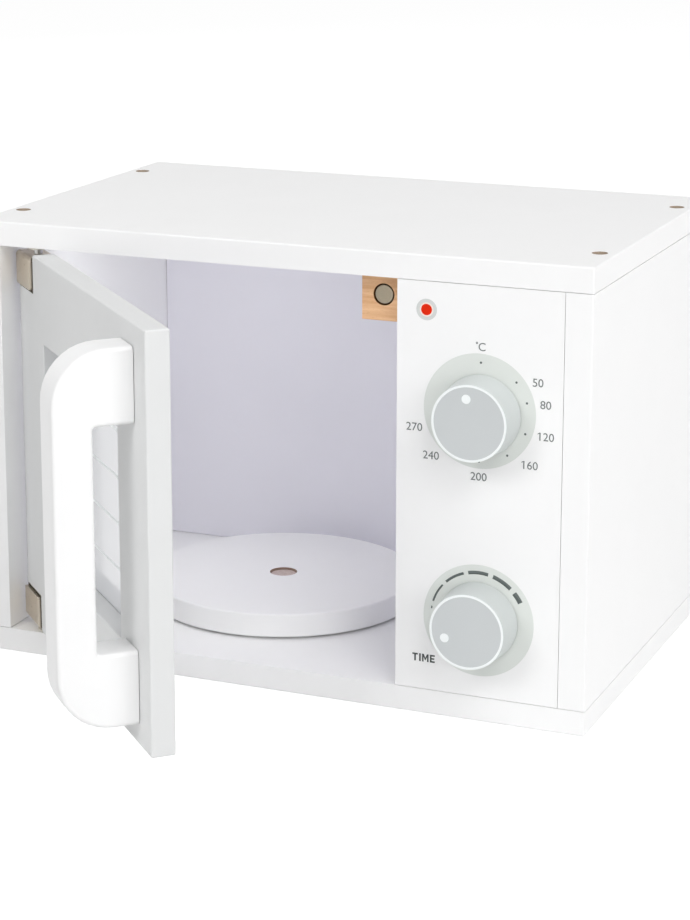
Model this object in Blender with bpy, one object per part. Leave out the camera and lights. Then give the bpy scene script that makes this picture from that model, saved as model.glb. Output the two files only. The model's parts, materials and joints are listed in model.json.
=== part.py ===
"""Wooden toy microwave: a white box of boards with an open oven, a turntable, a hinged door and two knobs.

Metres, +Z up. The origin is the middle of the cabinet's footprint, on the surface it stands on.
+X is to the right of someone facing the toy, and -Y is its front. The door is modelled shut, under
an empty that stands on its hinge axis, and the empty is turned to hold the door open at rest_angle.
"""
import math

import bmesh
import bpy
from mathutils import Matrix, Vector

MM = 0.001

# Cabinet boards
cabinet_width = 314 * MM
cabinet_depth = 198 * MM
cabinet_height = 220 * MM
deck_thickness = 12 * MM
side_thickness = 13 * MM
front_thickness = 12 * MM
divider_thickness = 12 * MM
back_thickness = 12 * MM
back_inset = 4.5 * MM
controls_width = 80.2 * MM
board_round = 1.0 * MM

# Clearances: seam is between glued or screwed pieces, loose_fit round pins and in pockets
seam = 0.3 * MM
loose_fit = 0.3 * MM
overrun = 2 * MM

# Screws that hold the top and bottom boards to the sides
deck_screw_setback = 33.5 * MM
deck_screw_inset = 1.4 * MM
deck_screw_head_radius = 3.3 * MM
deck_screw_head_height = 2.4 * MM
deck_screw_shank_radius = 1.8 * MM
deck_screw_shank = 24 * MM
counterbore_clearance = 0.45 * MM
counterbore_depth = 6 * MM

# Door and its window
door_thickness = 11.5 * MM
hinge_side_gap = 1.8 * MM
latch_side_gap = 1.5 * MM
door_end_gap = 2.4 * MM
door_round = 1.0 * MM
rest_angle = math.radians(45.6)
window_width = 120 * MM
window_height = 109 * MM
window_chamfer = 0.5 * MM
pane_thickness = 1.5 * MM
pane_lap = 6 * MM

# Handle, an arch cut from one board
handle_length = 171 * MM
handle_reach = 36.5 * MM
handle_board = 20 * MM
handle_margin = 15.5 * MM
handle_finger_gap = 18.2 * MM
handle_foot = 34.3 * MM
handle_outer_radius = 25 * MM
handle_inner_radius = 1.5 * MM
handle_round = 2.0 * MM
handle_screw_inset = 17 * MM
handle_screw_head_radius = 3.6 * MM
handle_screw_head_height = 2.4 * MM
handle_screw_radius = 1.9 * MM
handle_screw_bite = 16 * MM

# Hinges: a clip bent over each corner of the door, a pin in it and a bush in the board
pivot_offset = 16.5 * MM
clip_setback = 0.8 * MM
clip_width = 24 * MM
clip_height = 16.2 * MM
clip_drop = 1.4 * MM
clip_sheet = 1.6 * MM
clip_pocket = 0.5 * MM
clip_pocket_margin = 1.4 * MM
clip_bend_radius = 0.7 * MM
clip_corner_radius = 1.6 * MM
pin_radius = 1.5 * MM
pin_in_door = 9 * MM
pin_end_clearance = 1.0 * MM
pin_collar_radius = 2.2 * MM
bush_radius = 3.5 * MM
bush_length = 7 * MM
bush_flange_radius = 5 * MM
bush_flange_thickness = 0.6 * MM

# Magnetic catch
block_width = 22 * MM
block_height = 23 * MM
block_depth = 20 * MM
block_gap = 0.5 * MM
block_round = 0.4 * MM
magnet_radius = 4.45 * MM
magnet_thickness = 5 * MM
magnet_clearance = 0.75 * MM
magnet_lift = 1.0 * MM
magnet_sink = 0.3 * MM
magnet_round = 0.3 * MM
strike_radius = 6 * MM
strike_thickness = 1.2 * MM
strike_screw_head_radius = 2.6 * MM
strike_screw_head_height = 1.6 * MM
strike_screw_radius = 1.2 * MM
strike_screw_length = 8 * MM

# Knobs, each on a screw that comes through the control panel from inside
knob_right_shift = 1.2 * MM
temperature_knob_height = 147.8 * MM
time_knob_height = 49.3 * MM
knob_base_radius = 19 * MM
knob_face_radius = 18 * MM
knob_length = 16.7 * MM
knob_round = 0.6 * MM
knob_gap = 0.5 * MM
axle_radius = 2.5 * MM
axle_bite = 11 * MM
axle_head_radius = 4.6 * MM
axle_head_height = 2.8 * MM
washer_radius = 7 * MM
washer_thickness = 1.0 * MM

# Turntable, held down by a shouldered pin in the bottom board
turntable_back_gap = 12 * MM
turntable_door_gap = 20 * MM
turntable_right_shift = 2.1 * MM
turntable_thickness = 12 * MM
turntable_round = 0.9 * MM
turntable_recess_clearance = 0.5 * MM
turntable_pin_head_radius = 6.6 * MM
turntable_pin_head_height = 3 * MM
turntable_pin_sink = 1.0 * MM
turntable_pin_radius = 4 * MM
turntable_pin_bite = 8 * MM
turntable_pin_round = 0.3 * MM
glide_radius = 15 * MM
glide_thickness = 0.6 * MM

# How finely round shapes are divided
disc_steps = 96
knob_steps = 64
detail_steps = 40
pin_steps = 24
screw_steps = 16
corner_steps = 3
big_corner_steps = 10

# Places worked out from the sizes above
left_wall = side_thickness - cabinet_width / 2
right_wall = cabinet_width / 2 - side_thickness
front = -cabinet_depth / 2
back = cabinet_depth / 2
floor = deck_thickness
ceiling = cabinet_height - deck_thickness
middle_height = (floor + ceiling) / 2
divider_left = right_wall - controls_width
back_panel_front = back - back_inset - back_thickness
knob_centre = (divider_left + right_wall) / 2 + knob_right_shift

for leftover in list(bpy.data.objects):
    bpy.data.objects.remove(leftover, do_unlink=True)


def material(name, colour, roughness, metallic=0.0):
    """A Principled material; the colour is linear red, green and blue."""
    made = bpy.data.materials.new(name)
    made.use_nodes = True
    shader = made.node_tree.nodes["Principled BSDF"]
    shader.inputs["Base Color"].default_value = (*colour, 1.0)
    shader.inputs["Roughness"].default_value = roughness
    shader.inputs["Metallic"].default_value = metallic
    return made


white_paint = material("white_paint", (0.84, 0.84, 0.84), 0.45)
oven_paint = material("oven_paint", (0.72, 0.71, 0.75), 0.5)
door_paint = material("door_paint", (0.64, 0.66, 0.67), 0.45)
knob_paint = material("knob_paint", (0.56, 0.6, 0.61), 0.45)
bare_beech = material("bare_beech", (0.7, 0.42, 0.2), 0.6)
window_acrylic = material("window_acrylic", (0.72, 0.73, 0.76), 0.12)
nickel_plate = material("nickel_plate", (0.6, 0.56, 0.49), 0.28, 1.0)
zinc_steel = material("zinc_steel", (0.55, 0.55, 0.56), 0.35, 1.0)
nylon = material("nylon", (0.75, 0.74, 0.7), 0.5)


def empty(name, place, turn=0.0):
    """An empty on a joint's axis, turned about the vertical."""
    made = bpy.data.objects.new(name, None)
    made.location = place
    made.rotation_euler.z = turn
    bpy.context.scene.collection.objects.link(made)
    return made


def solid(name, shape, finish=None, place=(0, 0, 0), facing=(0, 0, 1), parent=None):
    """An object from a bmesh, with its local +Z turned to facing. One without a finish is a cutter."""
    bmesh.ops.recalc_face_normals(shape, faces=shape.faces)
    mesh = bpy.data.meshes.new(name)
    shape.to_mesh(mesh)
    shape.free()
    mesh.shade_smooth()
    mesh.set_sharp_from_angle(angle=math.radians(35))
    made = bpy.data.objects.new(name, mesh)
    made.location = place
    made.rotation_euler = Vector((0, 0, 1)).rotation_difference(Vector(facing)).to_euler()
    made.parent = parent
    if finish is None:
        made.hide_render = True
        made.display_type = "WIRE"
    else:
        mesh.materials.append(finish)
    bpy.context.scene.collection.objects.link(made)
    return made


def cut(target, *cutters):
    """Take each cutter out of the target with a live exact Boolean."""
    for cutter in cutters:
        modifier = target.modifiers.new(cutter.name, "BOOLEAN")
        modifier.operation = "DIFFERENCE"
        modifier.solver = "EXACT"
        modifier.object = cutter


def box(low, high):
    """A box between two corners."""
    shape = bmesh.new()
    bmesh.ops.create_cube(shape, size=1)
    low, high = Vector(low), Vector(high)
    place = Matrix.LocRotScale((low + high) / 2, None, high - low)
    bmesh.ops.transform(shape, matrix=place, verts=shape.verts)
    return shape


def rounded(shape, radius, chosen=None, steps=corner_steps):
    """Round every edge, or those that chosen(middle, direction) picks."""
    edges = []
    for edge in shape.edges:
        start, end = (vertex.co for vertex in edge.verts)
        if chosen is None or chosen((start + end) / 2, (end - start).normalized()):
            edges.append(edge)
    bmesh.ops.bevel(shape, geom=edges, offset=radius, segments=steps, profile=0.5, affect="EDGES")
    return shape


def arc(x, y, radius, start, stop, steps=corner_steps):
    """Points of an arc about (x, y) from one angle to another, in degrees."""
    angles = [math.radians(start + (stop - start) * step / steps) for step in range(steps + 1)]
    return [(x + radius * math.cos(angle), y + radius * math.sin(angle)) for angle in angles]


def turned(profile, steps, closed=False):
    """Turn a profile of (radius, height) points about +Z; a closed one makes a ring."""
    shape = bmesh.new()
    points = [shape.verts.new((radius, 0, height)) for radius, height in profile]
    pairs = list(zip(points, points[1:]))
    if closed:
        pairs.append((points[-1], points[0]))
    edges = [shape.edges.new(pair) for pair in pairs]
    bmesh.ops.spin(shape, geom=points + edges, cent=(0, 0, 0), axis=(0, 0, 1),
                   angle=math.tau, steps=steps, use_merge=True)
    widest = max(radius for radius, height in profile)
    bmesh.ops.remove_doubles(shape, verts=shape.verts, dist=widest / 10000)
    return shape


def rod(radius, length, steps=pin_steps):
    """A plain cylinder that stands on the origin."""
    return turned([(0, 0), (radius, 0), (radius, length), (0, length)], steps)


def eased_disc(radius, thickness, ease, steps):
    """A disc that stands on the origin, with the edge of its top rounded."""
    rim = arc(radius - ease, thickness - ease, ease, 0, 90)
    return turned([(0, 0), (radius, 0)] + rim + [(0, thickness)], steps)


def pan_screw(head_radius, head_height, shank_radius, shank_length, steps=screw_steps):
    """A domed screw: its head stands on the origin and its shank runs down from there."""
    dome = arc(head_radius - head_height / 2, head_height / 2, head_height / 2, 0, 90)
    return turned([(0, -shank_length), (shank_radius, -shank_length), (shank_radius, 0),
                   (head_radius, 0)] + dome + [(0, head_height)], steps)


def flat_screw(head_radius, head_height, shank_radius, shank_length, steps=screw_steps):
    """A countersunk screw: the top of its head is at the origin and its shank runs down."""
    return turned([(0, -shank_length), (shank_radius, -shank_length),
                   (shank_radius, -head_height), (head_radius, 0), (0, 0)], steps)


def flat_screw_hole(head_radius, head_height, shank_radius, shank_length):
    """The cutter for a countersunk screw's hole, wider all round and open at the top."""
    head, shank = head_radius + loose_fit, shank_radius + loose_fit
    return turned([(0, -shank_length - loose_fit), (shank, -shank_length - loose_fit),
                   (shank, -head_height), (head, 0), (head, overrun), (0, overrun)], screw_steps)


def plate(outline, thickness):
    """A plate with its outline in local X and Y, standing on the origin."""
    shape = bmesh.new()
    face = shape.faces.new([shape.verts.new((x, y, 0)) for x, y in outline])
    grown = bmesh.ops.extrude_face_region(shape, geom=[face])
    upper = [item for item in grown["geom"] if isinstance(item, bmesh.types.BMVert)]
    bmesh.ops.translate(shape, vec=(0, 0, thickness), verts=upper)
    return shape


# Cabinet: the top and bottom boards lie over the sides, and each outside edge is eased

def deck(name, low_z, high_z, outer_z):
    """A top or bottom board, eased on every edge but those over the seam."""
    shape = box((-cabinet_width / 2, front, low_z), (cabinet_width / 2, back, high_z))

    def outside(middle, along):
        return abs(along.z) > 0.5 or abs(middle.z - outer_z) < deck_thickness / 2
    return solid(name, rounded(shape, board_round, outside), white_paint)


def side(name, sign):
    """A side board between the top and bottom boards, eased on its outer upright edges."""
    outer = sign * cabinet_width / 2
    inner = outer - sign * side_thickness
    shape = box((min(inner, outer), front, floor + seam), (max(inner, outer), back, ceiling - seam))

    def outside(middle, along):
        return abs(along.z) > 0.5 and abs(middle.x - outer) < side_thickness / 2
    return solid(name, rounded(shape, board_round, outside), white_paint)


top_panel = deck("top_panel", ceiling, cabinet_height, cabinet_height)
bottom_panel = deck("bottom_panel", 0, floor, 0)
side_panels = {-1: side("left_side_panel", -1), 1: side("right_side_panel", 1)}
control_panel = solid(
    "control_panel",
    box((divider_left, front, floor + seam),
        (right_wall - seam, front + front_thickness, ceiling - seam)),
    white_paint)
divider_panel = solid(
    "divider_panel",
    box((divider_left, front + front_thickness + seam, floor + seam),
        (divider_left + divider_thickness, back_panel_front - seam, ceiling - seam)),
    oven_paint)
back_panel = solid(
    "back_panel",
    box((left_wall + seam, back_panel_front, floor + seam),
        (right_wall - seam, back - back_inset, ceiling - seam)),
    oven_paint)


# Four screws go through each deck into the sides, with their heads deep in counterbores

def deck_screws(row, board, surface, outward):
    """The screws of one deck and their holes; outward is +1 on top and -1 underneath."""
    seat = surface - outward * counterbore_depth
    corners = [(x_sign, y_sign) for x_sign in (-1, 1) for y_sign in (-1, 1)]
    bore_radius = deck_screw_head_radius + counterbore_clearance
    pilot_radius = deck_screw_shank_radius + loose_fit
    pilot_depth = deck_screw_shank + loose_fit
    hole_profile = [(0, -pilot_depth), (pilot_radius, -pilot_depth), (pilot_radius, 0),
                    (bore_radius, 0), (bore_radius, counterbore_depth + overrun),
                    (0, counterbore_depth + overrun)]
    for number, (x_sign, y_sign) in enumerate(corners, 1):
        x = x_sign * ((cabinet_width - side_thickness) / 2 - deck_screw_inset)
        y = y_sign * (cabinet_depth / 2 - deck_screw_setback)
        hole = solid(f"{row}_hole_{number}", turned(hole_profile, pin_steps),
                     place=(x, y, seat), facing=(0, 0, outward))
        cut(board, hole)
        cut(side_panels[x_sign], hole)
        solid(f"{row}_{number}",
              pan_screw(deck_screw_head_radius, deck_screw_head_height,
                        deck_screw_shank_radius, deck_screw_shank),
              zinc_steel, place=(x, y, seat + outward * loose_fit), facing=(0, 0, outward))


deck_screws("top_screw", top_panel, cabinet_height, 1)
deck_screws("bottom_screw", bottom_panel, 0, -1)

# Door: one board with a window, under an empty on the hinge axis. Here x runs from the hinge axis
# to the free edge, y from the outer face to the inner one, and z is the cabinet's

pivot = Vector((left_wall + hinge_side_gap + pivot_offset, front + door_thickness / 2, 0))
door_axis = empty("door_axis", pivot, -rest_angle)
door_hinge_edge = -pivot_offset
door_free_edge = divider_left - latch_side_gap - pivot.x
door_half_height = (ceiling - floor) / 2 - door_end_gap
door_outside = -door_thickness / 2
door_inside = door_thickness / 2

door_panel = solid(
    "door_panel",
    rounded(box((door_hinge_edge, door_outside, middle_height - door_half_height),
                (door_free_edge, door_inside, middle_height + door_half_height)), door_round),
    door_paint, parent=door_axis)

window_middle = (door_hinge_edge + door_free_edge) / 2


def window_sections(sections):
    """A solid through the door with the window's outline, grown by a given amount at each depth."""
    shape = bmesh.new()
    rings = []
    for depth, grow in sections:
        reach_x = window_width / 2 + grow
        reach_z = window_height / 2 + grow
        corners = [(-reach_x, -reach_z), (reach_x, -reach_z), (reach_x, reach_z), (-reach_x, reach_z)]
        rings.append([shape.verts.new((window_middle + x, depth, middle_height + z))
                      for x, z in corners])
    for ring, following in zip(rings, rings[1:]):
        for corner in range(4):
            beside = (corner + 1) % 4
            shape.faces.new((ring[corner], ring[beside], following[beside], following[corner]))
    shape.faces.new(rings[0])
    shape.faces.new(rings[-1])
    return shape


# The opening has a fine chamfer outside and a rebate inside, which holds the pane
pane_outside = door_inside - pane_thickness
rebate = pane_lap + loose_fit
window_opening = solid("window_opening", window_sections([
    (door_outside - overrun, window_chamfer + overrun),
    (door_outside + window_chamfer, 0),
    (pane_outside - loose_fit, 0),
    (pane_outside - loose_fit, rebate),
    (door_inside + overrun, rebate),
]), parent=door_axis)
cut(door_panel, window_opening)
solid("window_pane", window_sections([(pane_outside, pane_lap), (door_inside, pane_lap)]),
      window_acrylic, parent=door_axis)

# Handle: the arch stands square to the door on two feet and is screwed on from inside

handle_middle = door_free_edge - handle_margin - handle_board / 2
handle_seat = door_outside - seam


def handle_outline():
    """The arch from its side: reach from the door along X, height along Y."""
    half = handle_length / 2
    inner_half = half - handle_foot
    turn = handle_outer_radius
    crook = handle_inner_radius
    outer_top = arc(handle_reach - turn, half - turn, turn, 90, 0, big_corner_steps)
    inner_top = arc(handle_finger_gap - crook, inner_half - crook, crook, 0, 90)
    outline = [(0, half)] + outer_top
    outline += [(x, -y) for x, y in reversed(outer_top)] + [(0, -half), (0, -inner_half)]
    outline += [(x, -y) for x, y in reversed(inner_top)] + inner_top + [(0, inner_half)]
    return outline


def handle_shape():
    """The arch with its edges eased, but not where the feet meet the door."""
    shape = plate(handle_outline(), handle_board)

    def on_a_face(middle, along):
        return abs(along.z) < 0.5 and middle.x > handle_inner_radius / 4
    rounded(shape, handle_round, on_a_face)
    reach_to_front = Matrix(((0, 0, -1), (-1, 0, 0), (0, 1, 0))).to_4x4()
    place = Matrix.Translation((handle_middle + handle_board / 2, handle_seat, middle_height))
    bmesh.ops.transform(shape, matrix=place @ reach_to_front, verts=shape.verts)
    return shape


door_handle = solid("door_handle", handle_shape(), white_paint, parent=door_axis)
handle_screw_sizes = (handle_screw_head_radius, handle_screw_head_height, handle_screw_radius,
                      door_thickness + seam + handle_screw_bite)
for screw_name, sign in (("handle_screw_upper", 1), ("handle_screw_lower", -1)):
    screw_place = (handle_middle, door_inside,
                   middle_height + sign * (handle_length / 2 - handle_screw_inset))
    screw_hole = solid(f"{screw_name}_hole", flat_screw_hole(*handle_screw_sizes),
                       place=screw_place, facing=(0, 1, 0), parent=door_axis)
    cut(door_panel, screw_hole)
    cut(door_handle, screw_hole)
    solid(screw_name, flat_screw(*handle_screw_sizes), zinc_steel, place=screw_place,
          facing=(0, 1, 0), parent=door_axis)

# Hinges, at the top (+1) and bottom (-1) of the door's hinge edge. Heights are from the middle

clip_left = door_hinge_edge + clip_setback
clip_right = clip_left + clip_width
clip_outside = door_outside + clip_pocket - loose_fit - clip_sheet
clip_inside = -clip_outside
clip_end = door_half_height - clip_drop
board_face = (ceiling - floor) / 2


def clip_outline():
    """The clip from its side, an upside-down U: through the door along X, height along Y."""
    outer, inner = clip_bend_radius + clip_sheet, clip_bend_radius
    low = clip_end - clip_height
    left_outer = arc(clip_outside + outer, clip_end - outer, outer, 180, 90)
    left_inner = arc(clip_outside + outer, clip_end - outer, inner, 90, 180)
    outline = [(clip_outside, low)] + left_outer
    outline += [(-y, z) for y, z in reversed(left_outer)] + [(clip_inside, low)]
    outline += [(clip_inside - clip_sheet, low)]
    outline += [(-y, z) for y, z in reversed(left_inner)] + left_inner
    outline += [(clip_outside + clip_sheet, low)]
    return outline


def clip_shape(sign):
    """The bent clip over one corner, with the lower corners of its leaves rounded."""
    shape = plate(clip_outline(), clip_width)
    low = clip_end - clip_height

    def leaf_corner(middle, along):
        return abs(along.x) > 0.5 and abs(middle.y - low) < clip_sheet / 2
    rounded(shape, clip_corner_radius, leaf_corner)
    upright = Matrix(((0, 0, 1, clip_left), (1, 0, 0, 0), (0, sign, 0, middle_height), (0, 0, 0, 1)))
    bmesh.ops.transform(shape, matrix=upright, verts=shape.verts)
    return shape


def corner_box(sign, low_y, high_y, low_height, high_height):
    """A box over the clip's width that runs out past the hinge edge."""
    heights = sorted((middle_height + sign * low_height, middle_height + sign * high_height))
    return box((door_hinge_edge - overrun, low_y, heights[0]),
               (clip_right + clip_pocket_margin, high_y, heights[1]))


def hinge_corner(place_name, sign, board):
    """One corner's clip, pin and bush, with their pockets and holes."""
    low = clip_end - clip_height - clip_pocket_margin
    high = door_half_height + overrun
    past = door_thickness
    pockets = [
        corner_box(sign, -past, door_outside + clip_pocket, low, high),
        corner_box(sign, door_inside - clip_pocket, past, low, high),
        corner_box(sign, -past, past, clip_end - clip_sheet - loose_fit, high),
    ]
    for number, pocket in enumerate(pockets, 1):
        cut(door_panel, solid(f"{place_name}_clip_pocket_{number}", pocket, parent=door_axis))
    outward = (0, 0, sign)
    clip = solid(f"hinge_clip_{place_name}", clip_shape(sign), nickel_plate, parent=door_axis)
    pin_start = clip_end - pin_in_door
    collar_start = clip_end + loose_fit
    collar_stop = board_face - seam - bush_flange_thickness - loose_fit
    pin_stop = board_face + bush_length - pin_end_clearance
    pin_place = (0, 0, middle_height + sign * pin_start)
    profile = [(0, 0), (pin_radius, 0), (pin_radius, collar_start - pin_start),
               (pin_collar_radius, collar_start - pin_start),
               (pin_collar_radius, collar_stop - pin_start),
               (pin_radius, collar_stop - pin_start), (pin_radius, pin_stop - pin_start),
               (0, pin_stop - pin_start)]
    solid(f"hinge_pin_{place_name}", turned(profile, pin_steps), zinc_steel, place=pin_place,
          facing=outward, parent=door_axis)
    pin_hole = solid(f"{place_name}_pin_hole",
                     rod(pin_radius + loose_fit, pin_in_door + loose_fit + overrun),
                     place=(0, 0, middle_height + sign * (pin_start - loose_fit)),
                     facing=outward, parent=door_axis)
    cut(door_panel, pin_hole)
    cut(clip, pin_hole)
    bore = pin_radius + loose_fit
    bush = [(bore, -bush_flange_thickness), (bush_flange_radius, -bush_flange_thickness),
            (bush_flange_radius, 0), (bush_radius, 0), (bush_radius, bush_length),
            (bore, bush_length)]
    solid(f"hinge_bush_{place_name}", turned(bush, pin_steps, closed=True), nylon,
          place=(pivot.x, pivot.y, middle_height + sign * (board_face - seam)), facing=outward)
    bush_hole = solid(f"{place_name}_bush_hole",
                      rod(bush_radius + loose_fit, bush_length + overrun),
                      place=(pivot.x, pivot.y, middle_height + sign * (board_face - overrun)),
                      facing=outward)
    cut(board, bush_hole)


hinge_corner("upper", 1, top_panel)
hinge_corner("lower", -1, bottom_panel)

# Magnetic catch: a beech block in the oven's top corner, and a steel disc let into the door

magnet_x = divider_left - seam - block_width / 2
block_z = ceiling - seam - block_height / 2
magnet_z = block_z + magnet_lift
block_front = front + door_thickness + block_gap
magnet_hole_depth = magnet_sink + magnet_thickness + loose_fit

magnet_block = solid(
    "magnet_block",
    rounded(box((magnet_x - block_width / 2, block_front, block_z - block_height / 2),
                (magnet_x + block_width / 2, block_front + block_depth,
                 block_z + block_height / 2)), block_round),
    bare_beech)
magnet_hole = solid("magnet_hole",
                    rod(magnet_radius + magnet_clearance, magnet_hole_depth + overrun, detail_steps),
                    place=(magnet_x, block_front - overrun, magnet_z), facing=(0, 1, 0))
cut(magnet_block, magnet_hole)
solid("catch_magnet", eased_disc(magnet_radius, magnet_thickness, magnet_round, detail_steps),
      nickel_plate, place=(magnet_x, block_front + magnet_sink + magnet_thickness, magnet_z),
      facing=(0, -1, 0))

strike_place = (magnet_x - pivot.x, door_inside, magnet_z)
strike_floor = (magnet_x - pivot.x, door_inside - strike_thickness, magnet_z)
strike_screw_sizes = (strike_screw_head_radius, strike_screw_head_height, strike_screw_radius,
                      strike_screw_length)
strike_recess = solid("strike_recess", rod(strike_radius + loose_fit, strike_thickness + overrun),
                      place=(magnet_x - pivot.x, door_inside - strike_thickness - loose_fit,
                             magnet_z), facing=(0, 1, 0), parent=door_axis)
strike_screw_hole = solid("strike_screw_hole", flat_screw_hole(*strike_screw_sizes),
                          place=strike_place, facing=(0, 1, 0), parent=door_axis)
strike_plate = solid("strike_plate", rod(strike_radius, strike_thickness), zinc_steel,
                     place=strike_floor, facing=(0, 1, 0), parent=door_axis)
cut(door_panel, strike_recess, strike_screw_hole)
cut(strike_plate, strike_screw_hole)
solid("strike_screw", flat_screw(*strike_screw_sizes), zinc_steel, place=strike_place,
      facing=(0, 1, 0), parent=door_axis)


# Knobs: the screw's head and washer are behind the panel and turn with the knob

def knob(name, height):
    """A knob on its axle screw, under an empty on the axis at the panel's face."""
    axis = empty(f"{name}_axis", (knob_centre, front, height))
    bore = axle_radius + loose_fit
    rim = arc(knob_face_radius - knob_round, knob_length - knob_round, knob_round, 0, 90)
    profile = [(0, axle_bite + loose_fit), (bore, axle_bite + loose_fit), (bore, 0),
               (knob_base_radius, 0)] + rim + [(0, knob_length)]
    solid(f"{name}_knob", turned(profile, knob_steps), knob_paint, place=(0, -knob_gap, 0),
          facing=(0, -1, 0), parent=axis)
    washer_front = front_thickness + seam
    washer = [(bore, 0), (washer_radius, 0), (washer_radius, washer_thickness),
              (bore, washer_thickness)]
    solid(f"{name}_washer", turned(washer, pin_steps, closed=True), zinc_steel,
          place=(0, washer_front, 0), facing=(0, 1, 0), parent=axis)
    head_seat = washer_front + washer_thickness + loose_fit
    solid(f"{name}_axle_screw",
          pan_screw(axle_head_radius, axle_head_height, axle_radius,
                    head_seat + knob_gap + axle_bite, pin_steps),
          zinc_steel, place=(0, head_seat, 0), facing=(0, 1, 0), parent=axis)
    hole = solid(f"{name}_axle_hole", rod(bore, front_thickness + 2 * overrun),
                 place=(0, -overrun, 0), facing=(0, 1, 0), parent=axis)
    cut(control_panel, hole)


knob("temperature", temperature_knob_height)
knob("time", time_knob_height)

# Turntable: it turns on a thin glide, under the head of a pin fixed in the bottom board

oven_depth = back_panel_front - front - door_thickness
turntable_radius = (oven_depth - turntable_back_gap - turntable_door_gap) / 2
turntable_x = (left_wall + divider_left) / 2 + turntable_right_shift
turntable_y = back_panel_front - turntable_back_gap - turntable_radius
glide_bottom = floor + seam
disc_bottom = glide_bottom + glide_thickness + loose_fit
disc_top = disc_bottom + turntable_thickness
head_bottom = disc_top - turntable_pin_sink - turntable_pin_head_height
recess_radius = turntable_pin_head_radius + turntable_recess_clearance
recess_depth = turntable_pin_sink + turntable_pin_head_height + loose_fit

pin_bore = turntable_pin_radius + loose_fit
disc_profile = [(pin_bore, 0)]
disc_profile += arc(turntable_radius - turntable_round, turntable_round, turntable_round, -90, 0)
disc_profile += arc(turntable_radius - turntable_round, turntable_thickness - turntable_round,
                    turntable_round, 0, 90)
disc_profile += [(recess_radius, turntable_thickness),
                 (recess_radius, turntable_thickness - recess_depth),
                 (pin_bore, turntable_thickness - recess_depth)]
solid("turntable", turned(disc_profile, disc_steps, closed=True), white_paint,
      place=(turntable_x, turntable_y, disc_bottom))

glide_profile = [(pin_bore, 0), (glide_radius, 0), (glide_radius, glide_thickness),
                 (pin_bore, glide_thickness)]
solid("turntable_glide", turned(glide_profile, pin_steps, closed=True), nylon,
      place=(turntable_x, turntable_y, glide_bottom))

pin_bottom = floor - turntable_pin_bite
head_height = head_bottom - pin_bottom
pin_profile = [(0, 0), (turntable_pin_radius, 0), (turntable_pin_radius, head_height),
               (turntable_pin_head_radius, head_height)]
pin_profile += arc(turntable_pin_head_radius - turntable_pin_round,
                   head_height + turntable_pin_head_height - turntable_pin_round,
                   turntable_pin_round, 0, 90)
pin_profile += [(0, head_height + turntable_pin_head_height)]
solid("turntable_pin", turned(pin_profile, detail_steps), bare_beech,
      place=(turntable_x, turntable_y, pin_bottom))
turntable_pin_hole = solid("turntable_pin_hole",
                           rod(pin_bore, turntable_pin_bite + loose_fit + overrun),
                           place=(turntable_x, turntable_y, pin_bottom - loose_fit))
cut(bottom_panel, turntable_pin_hole)
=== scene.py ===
import json
import math

import bmesh
import bpy
from mathutils import Matrix, Vector


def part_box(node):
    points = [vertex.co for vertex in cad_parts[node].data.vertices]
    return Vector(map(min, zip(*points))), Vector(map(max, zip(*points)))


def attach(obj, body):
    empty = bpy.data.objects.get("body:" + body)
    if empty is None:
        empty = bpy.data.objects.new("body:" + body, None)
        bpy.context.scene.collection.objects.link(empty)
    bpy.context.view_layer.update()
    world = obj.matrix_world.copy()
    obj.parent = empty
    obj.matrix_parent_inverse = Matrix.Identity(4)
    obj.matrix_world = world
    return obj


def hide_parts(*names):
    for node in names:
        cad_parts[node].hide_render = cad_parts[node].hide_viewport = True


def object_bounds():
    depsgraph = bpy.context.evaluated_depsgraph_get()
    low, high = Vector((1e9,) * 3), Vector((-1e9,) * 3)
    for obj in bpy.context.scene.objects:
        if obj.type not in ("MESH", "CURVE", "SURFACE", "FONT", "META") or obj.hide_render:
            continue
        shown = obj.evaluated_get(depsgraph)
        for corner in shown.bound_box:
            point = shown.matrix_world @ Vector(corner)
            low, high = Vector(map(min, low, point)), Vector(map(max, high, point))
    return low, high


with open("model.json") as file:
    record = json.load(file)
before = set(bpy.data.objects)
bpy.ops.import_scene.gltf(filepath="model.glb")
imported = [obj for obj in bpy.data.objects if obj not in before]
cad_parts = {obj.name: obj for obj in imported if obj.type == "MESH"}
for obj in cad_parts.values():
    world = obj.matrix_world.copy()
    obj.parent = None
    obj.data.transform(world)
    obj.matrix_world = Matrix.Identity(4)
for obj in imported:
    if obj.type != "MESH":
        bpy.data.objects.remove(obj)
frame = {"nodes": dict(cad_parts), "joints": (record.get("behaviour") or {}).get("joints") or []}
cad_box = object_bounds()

# Cabinet boards. Five panels of fibreboard, glued and screwed edge to edge, with the outside edges
# eased before spraying. The satin white lacquer has a faint orange peel that softens its highlights,
# and the counterbores on top and underneath show the raw board, because they are bored afterwards.

MM = 0.001


def linear(colour):
    """An sRGB hex colour as linear red, green, blue and alpha."""
    shares = [int(colour[start:start + 2], 16) / 255 for start in (1, 3, 5)]
    return [share / 12.92 if share <= 0.04045 else ((share + 0.055) / 1.055) ** 2.4
            for share in shares] + [1.0]


def add(finish, kind, inputs=None, **settings):
    """Add a node to a material or tree, with its settings, and with each input a value or a link.

    An input goes by its name, or by its number where names repeat, as on a Mix node: 0 is the
    factor, 2 and 3 are the plain values, and 6 and 7 are the colours that it mixes.
    """
    tree = getattr(finish, "node_tree", finish)
    made = tree.nodes.new(kind)
    for name, value in settings.items():
        setattr(made, name, value)
    for name, value in (inputs or {}).items():
        if isinstance(value, bpy.types.NodeSocket):
            tree.links.new(value, made.inputs[name])
        else:
            made.inputs[name].default_value = value
    return made


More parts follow.
